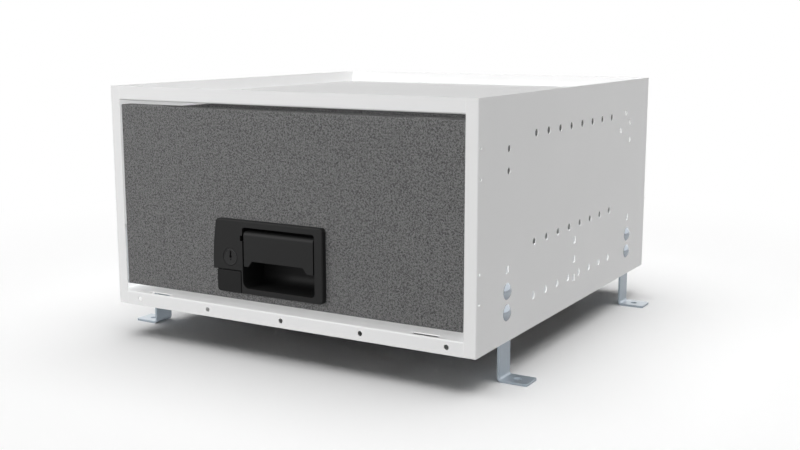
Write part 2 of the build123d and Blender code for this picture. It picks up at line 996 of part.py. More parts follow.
def latch_bar():
    """The upright bar whose bevelled lower end drops behind the keeper."""
    low = pan_lip + seam_gap + keeper_height + keeper_clear
    high = rocker_height + bar_top
    front = bar_middle_y - bar_thick / 2
    back = bar_middle_y + bar_thick / 2
    left = crank_middle - bar_width / 2
    right = crank_middle + bar_width / 2
    side = Polyline(
        (front, low),
        (front, high),
        (back, high),
        (back, low + bar_bevel),
        (bar_middle_y, low),
        close=True,
    )
    bar = across(make_face(side), left, right)
    return bar - block(
        crank_left - lever_plate_gap,
        crank_left + crank_plate + lever_plate_gap,
        front - cut_overrun,
        back + cut_overrun,
        rocker_height - rocker_tip - bar_window_drop,
        rocker_height + rocker_tip + bar_window_room,
    )


def latch_guide():
    """The moulded block on the drawer's base that the latch bar slides in."""
    slot_x = bar_width / 2 + guide_room
    slot_y = bar_thick / 2 + guide_room
    low = base_top + seam_gap
    left = bracket_right + seam_gap
    right = crank_middle + slot_x + guide_wall
    body = block(
        left,
        right,
        bar_middle_y - slot_y - guide_wall,
        bar_middle_y + slot_y + guide_wall,
        low,
        low + guide_height,
    )
    return body - block(
        crank_middle - slot_x,
        crank_middle + slot_x,
        bar_middle_y - slot_y,
        bar_middle_y + slot_y,
        low - cut_overrun,
        low + guide_height + cut_overrun,
    )


def latch_keeper():
    """The raised keeper on the casing's floor, a strip folded to a hat."""
    low = pan_lip + seam_gap + keeper_sheet / 2
    high = pan_lip + seam_gap + keeper_height - keeper_sheet / 2
    half = keeper_length / 2
    top_half = bar_width / 2
    points = [
        (crank_middle - half, low),
        (crank_middle - top_half, low),
        (crank_middle - top_half, high),
        (crank_middle + top_half, high),
        (crank_middle + top_half, low),
        (crank_middle + half, low),
    ]
    section = pressed(points, keeper_sheet)
    return backward(section, bar_middle_y - keeper_width, bar_middle_y - bar_thick / 2)


def lock_plug():
    """The turning lock cylinder with its round face and keyhole."""
    face_front = -housing_proud
    face_end = face_front + lock_face_thick
    shaft_end = lock_boss_depth + cam_gap
    plug = rod_backward(lock_face / 2, lock_side, lock_height, face_front, face_end)
    plug += rod_backward(lock_shaft / 2, lock_side, lock_height, face_end, shaft_end)
    keyway = Pos(0, key_slot_rise) * Rectangle(key_slot_width, key_slot_length)
    keyway += Pos(0, key_round_rise) * flat_sided(key_round / 2, hole_sides)
    keyway += Pos(0, -key_dot_drop) * flat_sided(key_dot / 2, hole_sides)
    keyway = Pos(lock_side, lock_height) * keyway
    return plug - backward(keyway, face_front - cut_overrun, face_front + key_depth)


def lock_cam():
    """The cam on the plug's rear end, which points down when unlocked."""
    start = lock_boss_depth + cam_gap
    arm = Pos(lock_side, lock_height) * Circle(cam_width / 2)
    arm += Pos(lock_side, lock_height - (cam_reach - cam_width / 2) / 2) * Rectangle(
        cam_width, cam_reach - cam_width / 2
    )
    arm += Pos(lock_side, lock_height - cam_reach + cam_width / 2) * Circle(cam_width / 2)
    cam = backward(arm, start, start + cam_plate)
    nut = Pos(lock_side, lock_height) * flat_sided(cam_nut / 2, 6)
    return cam + backward(nut, start + cam_plate, start + cam_plate + cam_nut_height)


def mechanism_cover():
    """The folded cover inside the drawer that closes off the handle and latch."""
    start = drawer_sheet + seam_gap
    low = base_top + seam_gap
    outer = block(
        mech_cover_left, mech_cover_right, start, mech_cover_depth, low, mech_cover_top
    )
    inner = block(
        mech_cover_left + mech_cover_sheet,
        mech_cover_right - mech_cover_sheet,
        start - cut_overrun,
        mech_cover_depth - mech_cover_sheet,
        low - cut_overrun,
        mech_cover_top - mech_cover_sheet,
    )
    return outer - inner


def rear_buffers():
    """The rubber buffers on the back panel that stop the closed drawer."""
    seat = casing_depth - sheet - seam_gap - sheet
    outline = RegularPolygon(buffer_radius, hole_sides)
    return [
        backward(Pos(side, buffer_height) * outline, drawer_length + buffer_gap, seat)
        for side in (-buffer_side, buffer_side)
    ]


def write(name, shape):
    """Moves a piece, or a group of like pieces, into the part's frame and saves it."""
    pieces = shape if isinstance(shape, list) else [shape]
    solids = [solid.moved(to_frame) for piece in pieces for solid in piece.solids()]
    whole = solids[0] if len(solids) == 1 else Compound(children=solids)
    export_step(whole, os.path.join("parts", name + ".step"))


def write_pair(name, right):
    """Saves a piece of the right side and its mirror image on the left."""
    write(name + "_right", right)
    write(name + "_left", mirrored(right))


def main():
    """Builds every piece and saves each under its node's name."""
    os.makedirs("parts", exist_ok=True)
    write_pair("side_panel", right_side_panel())
    write("top_tray", top_tray())
    write("bottom_pan", bottom_pan())
    write("back_panel", back_panel())
    write_pair("runner_rail", right_rail())
    write_pair("foot_front", right_foot(feet_back[0]))
    write_pair("foot_rear", right_foot(feet_back[1]))
    write("foot_bolts", both_sides(right_bolt))
    write("foot_nuts", both_sides(right_nut))
    write_pair("runner_outer", right_outer_member())
    write_pair("runner_middle", right_middle_member())
    write_pair("runner_inner", right_inner_member())
    outer_cages = right_cages(outer_ball_place, outer_row)
    write("ball_cages_outer", outer_cages + [mirrored(cage) for cage in outer_cages])
    inner_cages = right_cages(inner_ball_place, inner_row)
    write("ball_cages_inner", inner_cages + [mirrored(cage) for cage in inner_cages])
    write("latch_keeper", latch_keeper())
    write("rear_buffers", rear_buffers())
    write("drawer_front", drawer_front())
    write("drawer_body", drawer_body())
    write("drawer_back", drawer_back())
    write("handle_housing", handle_housing())
    write("handle_lower_cover", lower_cover())
    write("handle_screws", housing_screws())
    write("mechanism_cover", mechanism_cover())
    write("latch_bracket", latch_bracket())
    write("latch_guide", latch_guide())
    write("rocker_pin", rocker_pin_piece())
    write("paddle", paddle())
    write("paddle_pin", paddle_pin())
    write("paddle_spring", paddle_spring())
    write("paddle_crank", crank())
    write("latch_rocker", rocker())
    write("latch_bar", latch_bar())
    write("lock_plug", lock_plug())
    write("lock_cam", lock_cam())


main()
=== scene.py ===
import json
import logging
import math
from collections.abc import Callable, Iterable
from dataclasses import dataclass, field
from enum import Enum
from functools import partial

import bmesh
import bpy
from mathutils import Matrix, Vector


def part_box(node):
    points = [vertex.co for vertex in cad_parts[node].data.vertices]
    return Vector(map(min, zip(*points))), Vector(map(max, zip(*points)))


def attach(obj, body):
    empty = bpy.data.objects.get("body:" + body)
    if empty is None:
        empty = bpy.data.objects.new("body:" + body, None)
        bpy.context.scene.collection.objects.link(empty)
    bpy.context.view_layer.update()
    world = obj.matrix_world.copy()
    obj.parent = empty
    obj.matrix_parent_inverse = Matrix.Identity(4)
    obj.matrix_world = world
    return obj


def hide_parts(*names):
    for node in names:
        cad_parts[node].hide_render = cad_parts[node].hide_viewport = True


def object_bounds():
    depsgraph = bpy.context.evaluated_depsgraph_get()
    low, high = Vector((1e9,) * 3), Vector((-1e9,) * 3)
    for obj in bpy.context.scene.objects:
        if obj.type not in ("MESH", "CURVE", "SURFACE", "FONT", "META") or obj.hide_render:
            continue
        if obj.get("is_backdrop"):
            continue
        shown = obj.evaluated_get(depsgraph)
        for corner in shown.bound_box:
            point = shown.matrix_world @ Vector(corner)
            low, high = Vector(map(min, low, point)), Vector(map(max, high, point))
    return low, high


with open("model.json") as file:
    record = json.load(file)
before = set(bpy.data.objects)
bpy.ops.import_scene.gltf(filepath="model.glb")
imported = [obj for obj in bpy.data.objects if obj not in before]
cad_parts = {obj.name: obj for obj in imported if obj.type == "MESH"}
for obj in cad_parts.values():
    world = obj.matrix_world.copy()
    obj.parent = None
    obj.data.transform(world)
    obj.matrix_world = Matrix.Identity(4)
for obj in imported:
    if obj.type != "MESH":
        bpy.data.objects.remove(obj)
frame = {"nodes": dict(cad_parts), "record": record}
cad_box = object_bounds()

log = logging.getLogger("van_drawer")

MILLIMETRES_PER_METRE = 1000

Pair = tuple[float, float]
Triple = tuple[float, float, float]
Ring = list[bmesh.types.BMVert]
Socket = bpy.types.NodeSocket

WHOLE: Pair = (0.0, 1.0)


def millimetres(value: float) -> float:
    """Converts a size in millimetres to the scene's metres."""
    return value / MILLIMETRES_PER_METRE


def angles_round(count: int) -> list[float]:
    """Returns as many angles, in radians, at even steps round a circle."""
    return [math.tau * number / count for number in range(count)]


def circle(radius: float) -> Callable[[float], float]:
    """Returns the reach of a circle, which is the same at every angle."""
    return lambda angle: radius


class Option(Enum):
    """A choice whose name is also part of the names of pieces."""

    @property
    def word(self) -> str:
        """The option's name in small letters."""
        return self.name.lower()


class Side(Option):
    """Which side of the unit a piece belongs to, as the sign of its x coordinate."""

    LEFT = -1
    RIGHT = 1


class Level(Option):
    """Whether a piece is the lower or the upper one of a pair, as the sign of its height."""

    LOW = -1
    HIGH = 1


class Shell:
    """One piece's mesh under construction, made of rings of points joined in turn.

    Points nearer than same_point, in millimetres, become one.
    """

    same_point: float = 0.001

    def __init__(self) -> None:
        """Starts an empty mesh."""
        self.mesh = bmesh.new()

    def ring(self, points: Iterable[Vector]) -> Ring:
        """Adds the points of one ring, in order, and returns them."""
        return [self.mesh.verts.new(point) for point in points]

    def join(self, first: Ring, second: Ring) -> None:
        """Joins two rings of as many points by a band of faces.

        Args:
            first: One ring.
            second: The next ring.
        """
        count = len(first)
        for number in range(count):
            after = (number + 1) % count
            self.mesh.faces.new((first[number], first[after], second[after], second[number]))

    def tube(self, rings: list[Ring]) -> None:
        """Joins rings in turn and closes both ends.

        Args:
            rings: The rings, from one end to the other.
        """
        for first, second in zip(rings, rings[1:]):
            self.join(first, second)
        self.mesh.faces.new(rings[0])
        self.mesh.faces.new(rings[-1])

    def ball(self, centre: Vector, radius: float, columns: int, rows: int) -> None:
        """Adds a ball with that many columns of faces round it and rows from pole to pole."""
        place = Matrix.Translation(centre)
        bmesh.ops.create_uvsphere(
            self.mesh, u_segments=columns, v_segments=rows, radius=radius, matrix=place
        )

    def finished(
        self,
        name: str,
        edge_angle: float,
        material: bpy.types.Material,
        body: str,
        replaced: str,
    ) -> bpy.types.Object:
        """Turns the mesh into a piece that stands for a node of the frame.

        Args:
            name: The piece's name.
            edge_angle: Bends sharper than this many degrees are shaded as edges.
            material: Its finish.
            body: The body that it moves with.
            replaced: The node that it stands for.

        Returns:
            The new object.
        """
        reach = millimetres(self.same_point)
        bmesh.ops.remove_doubles(self.mesh, verts=self.mesh.verts, dist=reach)
        bmesh.ops.recalc_face_normals(self.mesh, faces=self.mesh.faces)
        data = bpy.data.meshes.new(name)
        self.mesh.to_mesh(data)
        self.mesh.free()
        data.shade_smooth()
        data.set_sharp_from_angle(angle=math.radians(edge_angle))
        data.materials.append(material)
        piece = bpy.data.objects.new(name, data)
        bpy.context.scene.collection.objects.link(piece)
        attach(piece, body)
        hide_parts(replaced)
        log.info("%s stands for %s", name, replaced)
        return piece


class Wiring:
    """A node tree under construction, with short calls for the nodes that work out values."""

    def __init__(self, tree: bpy.types.NodeTree) -> None:
        """Starts on a node tree."""
        self.nodes = tree.nodes
        self.links = tree.links

    def spread(self, value: Socket, source: Pair, target: Pair) -> Socket:
        """Maps a value from one range to another.

        Args:
            value: The socket to map.
            source: Low and high ends that come in.
            target: What those ends become.

        Returns:
            The mapped value.
        """
        node = self.nodes.new("ShaderNodeMapRange")
        names = ("From Min", "From Max", "To Min", "To Max")
        for name, number in zip(names, source + target):
            node.inputs[name].default_value = number
        self.links.new(value, node.inputs["Value"])
        return node.outputs["Result"]

    def combine(self, operation: str, first: Socket, second: Socket) -> Socket:
        """Works out one value from two.

        Args:
            operation: The math node's operation.
            first: The first value.
            second: The second value.

        Returns:
            The result.
        """
        node = self.nodes.new("ShaderNodeMath")
        node.operation = operation
        self.links.new(first, node.inputs[0])
        self.links.new(second, node.inputs[1])
        return node.outputs["Value"]

    def seen(self) -> Socket:
        """Tells rays that look at a thing from those that only light it.

        Returns:
            1 for rays from the camera, a mirror or glass, and 0 for the light's own.
        """
        path = self.nodes.new("ShaderNodeLightPath")
        total = path.outputs["Is Camera Ray"]
        for name in ("Is Glossy Ray", "Is Transmission Ray"):
            total = self.combine("MAXIMUM", total, path.outputs[name])
        return total


class ShaderTree(Wiring):
    """A material under construction, with sizes in millimetres."""

    def __init__(self, name: str) -> None:
        """Starts a material with one principled shader.

        Args:
            name: The finish's name.
        """
        self.material = bpy.data.materials.new(name)
        self.material.use_nodes = True
        super().__init__(self.material.node_tree)
        self.nodes.clear()
        output = self.nodes.new("ShaderNodeOutputMaterial")
        self.shader = self.nodes.new("ShaderNodeBsdfPrincipled")
        self.links.new(self.shader.outputs["BSDF"], output.inputs["Surface"])
        self.place = self.nodes.new("ShaderNodeTexCoord").outputs["Object"]

    def set(self, **values: float) -> None:
        """Sets plain values on the shader's own sockets, named with _ for spaces."""
        for name, value in values.items():
            self.shader.inputs[name.replace("_", " ")].default_value = value

    def stretched(self, scale: Triple, place: Socket | None = None) -> Socket:
        """Stretches a coordinate along the axes.

        Args:
            scale: Factors along x, y and z.
            place: Coordinate to use instead of the plain one.

        Returns:
            The stretched coordinate.
        """
        mapping = self.nodes.new("ShaderNodeMapping")
        mapping.inputs["Scale"].default_value = scale
        self.links.new(place or self.place, mapping.inputs["Vector"])
        return mapping.outputs["Vector"]

    def turned(self, angle: float) -> Socket:
        """Turns the object coordinate about y.

        Args:
            angle: The turn in degrees.

        Returns:
            The turned coordinate.
        """
        turn = self.nodes.new("ShaderNodeVectorRotate")
        turn.rotation_type = "Y_AXIS"
        turn.inputs["Angle"].default_value = math.radians(angle)
        self.links.new(self.place, turn.inputs["Vector"])
        return turn.outputs["Vector"]

    def noise(
        self,
        grain: float,
        detail: float = 2.0,
        distortion: float = 0.0,
        place: Socket | None = None,
    ) -> Socket:
        """Makes a noise.

        Args:
            grain: Size of the noise's features.
            detail: Octaves of finer noise.
            distortion: How far the noise is pulled about.
            place: Coordinate to use instead of the plain one.

        Returns:
            The noise, from 0 to 1.
        """
        node = self.nodes.new("ShaderNodeTexNoise")
        node.inputs["Scale"].default_value = 1 / millimetres(grain)
        node.inputs["Detail"].default_value = detail
        node.inputs["Distortion"].default_value = distortion
        self.links.new(place or self.place, node.inputs["Vector"])
        return node.outputs["Fac"]

    def cells(self, grain: float) -> Socket:
        """Makes a pattern of cells.

        Args:
            grain: Size of a cell.

        Returns:
            The distance to the nearest cell's centre, as a share of a cell.
        """
        node = self.nodes.new("ShaderNodeTexVoronoi")
        node.feature = "SMOOTH_F1"
        node.inputs["Scale"].default_value = 1 / millimetres(grain)
        self.links.new(self.place, node.inputs["Vector"])
        return node.outputs["Distance"]

    def tint(self, value: Socket, dark: Triple, light: Triple) -> None:
        """Colours the surface between two tones by a value from 0 to 1.

        Args:
            value: The value that picks the tone.
            dark: Colour at 0.
            light: Colour at 1.
        """
        node = self.nodes.new("ShaderNodeValToRGB")
        for element, colour in zip(node.color_ramp.elements, (dark, light)):
            element.color = (*colour, 1)
        self.links.new(value, node.inputs["Fac"])
        self.links.new(node.outputs["Color"], self.shader.inputs["Base Color"])

    def rough(self, value: Socket, roughness: Pair) -> None:
        """Varies the roughness between two ends by a value from 0 to 1."""
        self.links.new(self.spread(value, WHOLE, roughness), self.shader.inputs["Roughness"])

    def bump(self, height: Socket, depth: float, share: float) -> None:
        """Raises the surface by a height from 0 to 1.

        Args:
            height: The height.
            depth: The relief's depth.
            share: Share of the relief that is used.
        """
        node = self.nodes.new("ShaderNodeBump")
        node.inputs["Distance"].default_value = millimetres(depth)
        node.inputs["Strength"].default_value = share
        self.links.new(height, node.inputs["Height"])
        self.links.new(node.outputs["Normal"], self.shader.inputs["Normal"])


def shade(tone: float, warmth: float = 0.0) -> Triple:
    """Returns a near-grey of a linear tone, bluer where its warmth is below 0."""
    return (tone * (1 + warmth), tone, tone * (1 - warmth))


def tones(tone: float, share: float, warmth: float = 0.0) -> tuple[Triple, Triple]:
    """Returns the near-greys that lie a share of a tone below it and above it."""
    return (shade(tone * (1 - share), warmth), shade(tone * (1 + share), warmth))


@dataclass(frozen=True)
class PowderCoat:
    """Smooth powder coat with a faint orange peel and cloudy tone, sizes in millimetres."""

    name: str
    tone: float
    cloud_grain: float = 120.0
    cloud_detail: float = 3.0
    cloud_share: float = 0.02
    peel_grain: float = 2.2
    peel_detail: float = 1.0
    peel_depth: float = 0.03
    peel_share: float = 0.5
    roughness: Pair = (0.42, 0.5)
    gloss_level: float = 0.35

    def material(self) -> bpy.types.Material:
        """Builds the material.

        Returns:
            The material.
        """
        tree = ShaderTree(self.name)
        cloud = tree.noise(self.cloud_grain, self.cloud_detail)
        tree.tint(cloud, *tones(self.tone, self.cloud_share))
        peel = tree.noise(self.peel_grain, self.peel_detail)
        tree.rough(peel, self.roughness)
        tree.bump(peel, self.peel_depth, self.peel_share)
        tree.set(Specular_IOR_Level=self.gloss_level)
        return tree.material


@dataclass(frozen=True)
class HammeredCoat:
    """Dark textured powder coat: short bent ridges, with painted shade in the pits and a painted
    highlight on the crowns.
    """

    name: str
    pit_tone: float = 0.037
    ridge_tone: float = 0.167
    ridge_grain: float = 1.2
    ridge_slant: float = 45.0
    ridge_scale: Triple = (1.0, 1.0, 0.5)
    ridge_bend: float = 0.3
    ridge_heights: Pair = (0.38, 0.72)
    ridge_depth: float = 0.5
    ridge_share: float = 0.8
    patch_grain: float = 11.0
    patch_heights: Pair = (0.4, 0.6)
    patch_lift: Pair = (-0.015, 0.015)
    roughness: Pair = (0.6, 0.48)
    gloss_level: float = 0.4

    def material(self) -> bpy.types.Material:
        """Builds the material.

        Returns:
            The material.
        """
        tree = ShaderTree(self.name)
        rising = self.ridges(tree, self.ridge_slant)
        falling = self.ridges(tree, -self.ridge_slant)
        patches = tree.noise(self.patch_grain, detail=0.0)
        lift = tree.spread(patches, self.patch_heights, self.patch_lift)
        ridges = tree.combine("MAXIMUM", tree.combine("ADD", rising, lift), falling)
        height = tree.spread(ridges, self.ridge_heights, WHOLE)
        # Painted shade and highlight: the colour follows the relief, darker in the pits and
        # lighter on the ridge crowns.
        tree.tint(height, shade(self.pit_tone), shade(self.ridge_tone))
        tree.rough(height, self.roughness)
        tree.bump(height, self.ridge_depth, self.ridge_share)
        tree.set(Specular_IOR_Level=self.gloss_level)
        return tree.material

    def ridges(self, tree: ShaderTree, slant: float) -> Socket:
        """Returns the height of ridges that run along one diagonal, its angle in degrees."""
        place = tree.stretched(self.ridge_scale, tree.turned(slant))
        return tree.noise(self.ridge_grain, detail=0.0, distortion=self.ridge_bend, place=place)


@dataclass(frozen=True)
class ZincPlate:
    """Bright zinc plating on steel, cloudy and faintly drawn along one axis."""

    name: str
    tone: Triple
    roughness: Pair
    cloud_grain: float = 12.0
    cloud_detail: float = 4.0
    cloud_bend: float = 0.4
    cloud_share: float = 0.14
    line_grain: float = 0.9
    line_scale: Triple = (1.0, 0.12, 1.0)
    line_depth: float = 0.02
    line_share: float = 0.4
    metal: float = 1.0

    def material(self) -> bpy.types.Material:
        """Builds the material.

        Returns:
            The material.
        """
        tree = ShaderTree(self.name)
        cloud = tree.noise(self.cloud_grain, self.cloud_detail, self.cloud_bend)
        dark = tuple(channel * (1 - self.cloud_share) for channel in self.tone)
        light = tuple(channel * (1 + self.cloud_share) for channel in self.tone)
        tree.tint(cloud, dark, light)
        lines = tree.noise(self.line_grain, place=tree.stretched(self.line_scale))
        tree.rough(tree.combine("MULTIPLY", lines, cloud), self.roughness)
        tree.bump(lines, self.line_depth, self.line_share)
        tree.set(Metallic=self.metal)
        return tree.material


@dataclass(frozen=True)
class SpangledSheet:
    """Galvanised sheet with the patchwork of crystals that dipping leaves."""

    name: str
    tone: float = 0.72
    tone_share: float = 0.06
    warmth: float = -0.02
    spangle: float = 11.0
    ripples_per_spangle: float = 3.0
    ripple_depth: float = 0.04
    ripple_share: float = 0.3
    roughness: Pair = (0.32, 0.48)
    metal: float = 0.35

    def material(self) -> bpy.types.Material:
        """Builds the material.

        Returns:
            The material.
        """
        tree = ShaderTree(self.name)
        crystals = tree.cells(self.spangle)
        tree.tint(crystals, *tones(self.tone, self.tone_share, self.warmth))
        tree.rough(crystals, self.roughness)
        ripples = tree.noise(self.spangle / self.ripples_per_spangle)
        tree.bump(ripples, self.ripple_depth, self.ripple_share)
        tree.set(Metallic=self.metal)
        return tree.material


@dataclass(frozen=True)
class MouldedPlastic:
    """Moulded plastic with a fine spark-eroded grain and the cloudy tone of its flow."""

    name: str
    tone: float
    tone_share: float = 0.12
    warmth: float = -0.01
    grain: float = 0.7
    grains_per_flow: float = 40.0
    depth: float = 0.05
    depth_share: float = 0.6
    roughness: Pair = (0.5, 0.62)
    gloss_level: float = 0.25

    def material(self) -> bpy.types.Material:
        """Builds the material.

        Returns:
            The material.
        """
        tree = ShaderTree(self.name)
        grain = tree.noise(self.grain)
        flow = tree.noise(self.grain * self.grains_per_flow)
        cloud = tree.combine("MULTIPLY", flow, grain)
        tree.tint(cloud, *tones(self.tone, self.tone_share, self.warmth))
        tree.rough(grain, self.roughness)
        tree.bump(grain, self.depth, self.depth_share)
        tree.set(Specular_IOR_Level=self.gloss_level)
        return tree.material


@dataclass(frozen=True)
class MouldedRubber:
    """Dull black rubber with a dusty bloom."""

    name: str
    tone: float = 0.02
    bloom_tone: float = 0.04
    bloom_grain: float = 4.0
    bloom_detail: float = 5.0
    skin_grain: float = 0.5
    skin_depth: float = 0.08
    skin_share: float = 0.5
    roughness: Pair = (0.75, 0.95)

    def material(self) -> bpy.types.Material:
        """Builds the material.

        Returns:
            The material.
        """
        tree = ShaderTree(self.name)
        bloom = tree.noise(self.bloom_grain, self.bloom_detail)
        tree.tint(bloom, shade(self.tone), shade(self.bloom_tone))
        tree.rough(bloom, self.roughness)
        tree.bump(tree.noise(self.skin_grain), self.skin_depth, self.skin_share)
        return tree.material


class Finishes:
    """All the finishes of the unit, made once and handed out by slot."""

    def __init__(self) -> None:
        """Builds the materials."""
        finishes = {
            "white_paint": PowderCoat("white_coat", tone=0.85),
            "inner_paint": PowderCoat("inner_coat", tone=0.8),
            "dark_paint": HammeredCoat("hammered_coat"),
            "foot_zinc": ZincPlate(
                "foot_plating",
                tone=(0.345, 0.395, 0.445),
                roughness=(0.28, 0.34),
                cloud_share=0.05,
                metal=0.25,
            ),
            "bolt_zinc": ZincPlate(
                "bolt_plating", tone=(0.31, 0.34, 0.375), roughness=(0.1, 0.16), cloud_share=0.05
            ),
            "rail_steel": SpangledSheet("spangled_sheet"),
            "runner_steel": ZincPlate(
                "runner_plating", tone=(0.6, 0.62, 0.64), roughness=(0.22, 0.34)
            ),
            "ball_steel": ZincPlate(
                "ball_steel", tone=(0.72, 0.73, 0.75), roughness=(0.06, 0.12)
            ),
            "latch_steel": ZincPlate(
                "latch_plating", tone=(0.6, 0.61, 0.6), roughness=(0.25, 0.38)
            ),
            "spring_steel": ZincPlate(
                "spring_wire", tone=(0.4, 0.41, 0.43), roughness=(0.2, 0.3)
            ),
            "handle_plastic": MouldedPlastic("bezel_plastic", tone=0.0055),
            "paddle_plastic": MouldedPlastic("paddle_plastic", tone=0.006),
            "guide_plastic": MouldedPlastic("guide_plastic", tone=0.68, depth=0.02),
            "lock_metal": MouldedPlastic(
                "lock_coat", tone=0.011, grain=0.4, roughness=(0.35, 0.45)
            ),
            "buffer_rubber": MouldedRubber("buffer_rubber"),
        }
        self.by_slot = {slot: finish.material() for slot, finish in finishes.items()}
        # Near-black finish for the ball that stands in for a pin hole: painted shade.
        self.keyway = MouldedPlastic("lock_pin", tone=0.002, gloss_level=0.05).material()
        self.cover = MouldedPlastic("cover_plastic", tone=0.004, gloss_level=0.2).material()

    def dress_cad_nodes(self) -> None:
        """Gives every node of the frame the finish of its slot in the record."""
        for row in frame["record"]["subparts"]:
            node = frame["nodes"][row["node"]]
            node.data.materials.clear()
            node.data.materials.append(self.by_slot[row["material_slot"]])
            log.info("%s: %s", row["node"], row["material_slot"])
        frame["nodes"]["handle_lower_cover"].data.materials[0] = self.cover


@dataclass(frozen=True)
class SoftEdges:
    """Rounds sharp edges as paint, plating or a mould rounds them, sizes in millimetres."""

    width: float
    segments: int = 2
    edge_angle: float = 35.0
    flat_angle: float = 0.4
    same_point: float = 0.002
    face_weight: int = 50

    def apply(self, *names: str) -> None:
        """Rounds the edges of the nodes of the frame that are named."""
        for name in names:
            self.soften(frame["nodes"][name])

    def soften(self, node: bpy.types.Object) -> None:
        """Adds the rounding to one node.

        Args:
            node: A node of the frame.
        """
        own_normals = node.data.attributes.get("custom_normal")
        if own_normals:
            node.data.attributes.remove(own_normals)
        node.data.shade_smooth()
        weld = node.modifiers.new("joined_corners", "WELD")
        weld.merge_threshold = millimetres(self.same_point)
        flat = node.modifiers.new("whole_faces", "DECIMATE")
        flat.decimate_type = "DISSOLVE"
        flat.angle_limit = math.radians(self.flat_angle)
        edges = node.modifiers.new("soft_edges", "BEVEL")
        edges.width = millimetres(self.width)
        edges.segments = self.segments
        edges.limit_method = "ANGLE"
        edges.angle_limit = math.radians(self.edge_angle)
        edges.use_clamp_overlap = True
        edges.miter_outer = "MITER_ARC"
        normals = node.modifiers.new("flat_faces", "WEIGHTED_NORMAL")
        normals.mode = "FACE_AREA"
        normals.weight = self.face_weight


@dataclass
class Casing:
    """The folded casing with its feet, softened, and the foot bolts, in millimetres."""

    finishes: Finishes
    panel_edges: SoftEdges = SoftEdges(0.35)
    pan_edges: SoftEdges = SoftEdges(0.55, segments=3)
    foot_edges: SoftEdges = SoftEdges(0.5, segments=3)
    bolt_backs: Pair = (79.5, 494.5)
    bolt_heights: Pair = (34.8, 59.8)
    head_radius: float = 9.75
    head_rise: float = 4.3
    head_rim: float = 0.35
    neck_side: float = 8.0
    neck_length: float = 3.6
    neck_corner: float = 0.6
    thread_radius: float = 3.98
    thread_depth: float = 0.55
    thread_pitch: float = 1.25
    shank_end: float = -12.0
    point_length: float = 0.8
    edge_angle: float = 40.0
    columns: int = 40
    dome_rows: int = 9
    rows_per_turn: int = 6

    def build(self) -> None:
        """Softens the edges and puts in the bolts."""
        self.panel_edges.apply("side_panel_left", "side_panel_right", "back_panel")
        self.pan_edges.apply("top_tray", "bottom_pan")
        for side in Side:
            for end, back in zip(("front", "rear"), self.bolt_backs):
                self.foot_edges.apply(f"foot_{end}_{side.word}")
                for level, height in zip(Level, self.bolt_heights):
                    self.bolt(f"foot_bolt_{end}_{side.word}_{level.word}", side, back, height)

    def bolt(self, name: str, side: Side, back: float, height: float) -> None:
        """Makes one bolt: a smooth dome, a square neck and a threaded shank.

        Args:
            name: The piece's name.
            side: The side panel that it goes through.
            back: Its distance behind the casing's front.
            height: Its height above the casing's underside.
        """
        low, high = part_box("side_panel_right")
        middle_y = low.y + millimetres(back)
        middle_z = low.z + millimetres(height)
        shell = Shell()
        rings = []

        def ring(out: float, reach: Callable[[float], float]) -> None:
            """Adds a ring out from the panel at a reach from the axis that the angle sets."""
            rings.append(
                shell.ring(
                    Vector(
                        (
                            side.value * (high.x + millimetres(out)),
                            middle_y + millimetres(reach(angle)) * math.cos(angle),
                            middle_z + millimetres(reach(angle)) * math.sin(angle),
                        )
                    )
                    for angle in angles_round(self.columns)
                )
            )

        cap_rise = self.head_rise - self.head_rim
        dome_radius = (self.head_radius**2 + cap_rise**2) / (2 * cap_rise)
        dome_angle = math.asin(self.head_radius / dome_radius)
        for row in range(1, self.dome_rows + 1):
            slope = dome_angle * row / self.dome_rows
            out = self.head_rise - dome_radius * (1 - math.cos(slope))
            ring(out, circle(dome_radius * math.sin(slope)))
        ring(0.0, circle(self.head_radius))
        ring(0.0, self.square)
        ring(-self.neck_length, self.square)
        length = -self.neck_length - self.shank_end
        row_count = round(length / self.thread_pitch * self.rows_per_turn)
        for row in range(row_count + 1):
            out = -self.neck_length - length * row / row_count
            ring(out, partial(self.thread, out))
        shell.tube(rings)
        material = self.finishes.by_slot["bolt_zinc"]
        shell.finished(name, self.edge_angle, material, "casing", "foot_bolts")

    def square(self, angle: float) -> float:
        """Gives the neck its square section with eased corners.

        Args:
            angle: The angle round the bolt, in radians.

        Returns:
            The neck's reach from the axis.
        """
        reach = self.neck_side / 2 / max(abs(math.cos(angle)), abs(math.sin(angle)))
        corner = self.neck_side / 2 * math.sqrt(2)
        return min(reach, corner - self.neck_corner)

    def thread(self, out: float, angle: float) -> float:
        """Gives the shank its thread, which runs out at the neck and at the point.

        Args:
            out: Distance out from the panel.
            angle: The angle round the bolt, in radians.

        Returns:
            The shank's radius there.
        """
        place = (out / self.thread_pitch + angle / math.tau) % 1
        wave = abs(place * 2 - 1)
        near_end = max(0.0, self.point_length - (out - self.shank_end)) / self.point_length
        near_neck = max(0.0, 1 - (-self.neck_length - out) / self.thread_pitch)
        depth = self.thread_depth * (1 - near_neck)
        return self.thread_radius - depth * max(wave, near_end)


